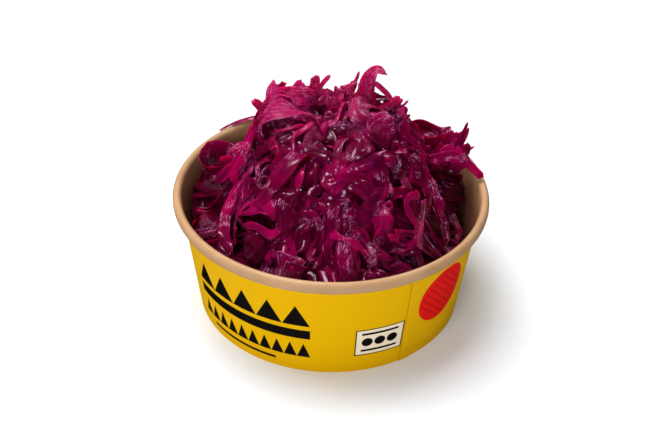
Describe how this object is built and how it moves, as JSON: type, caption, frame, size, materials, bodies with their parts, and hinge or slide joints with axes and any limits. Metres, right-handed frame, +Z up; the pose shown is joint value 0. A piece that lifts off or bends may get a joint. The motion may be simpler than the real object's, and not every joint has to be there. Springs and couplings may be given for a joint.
{
  "type": "bowl of sweet and sour red cabbage",
  "caption": "Round straight-sided paper bowl with a rolled lip, heaped high with glossy strips of pickled red cabbage that rise well above the rim.",
  "frame": {"origin": "centre of the bowl's foot, on the surface that it stands on", "axes": "+Z up along the bowl's axis, -Y towards the front of the bowl"},
  "size_m": [0.1498, 0.1498, 0.1134],
  "materials": {
    "printed_paper": "satin",
    "kraft_paper": "matte",
    "red_cabbage": "gloss"
  },
  "bodies": {
    "root": {"paper_bowl": "printed_paper", "cabbage_heap": "red_cabbage"}
  },
  "joints": []
}
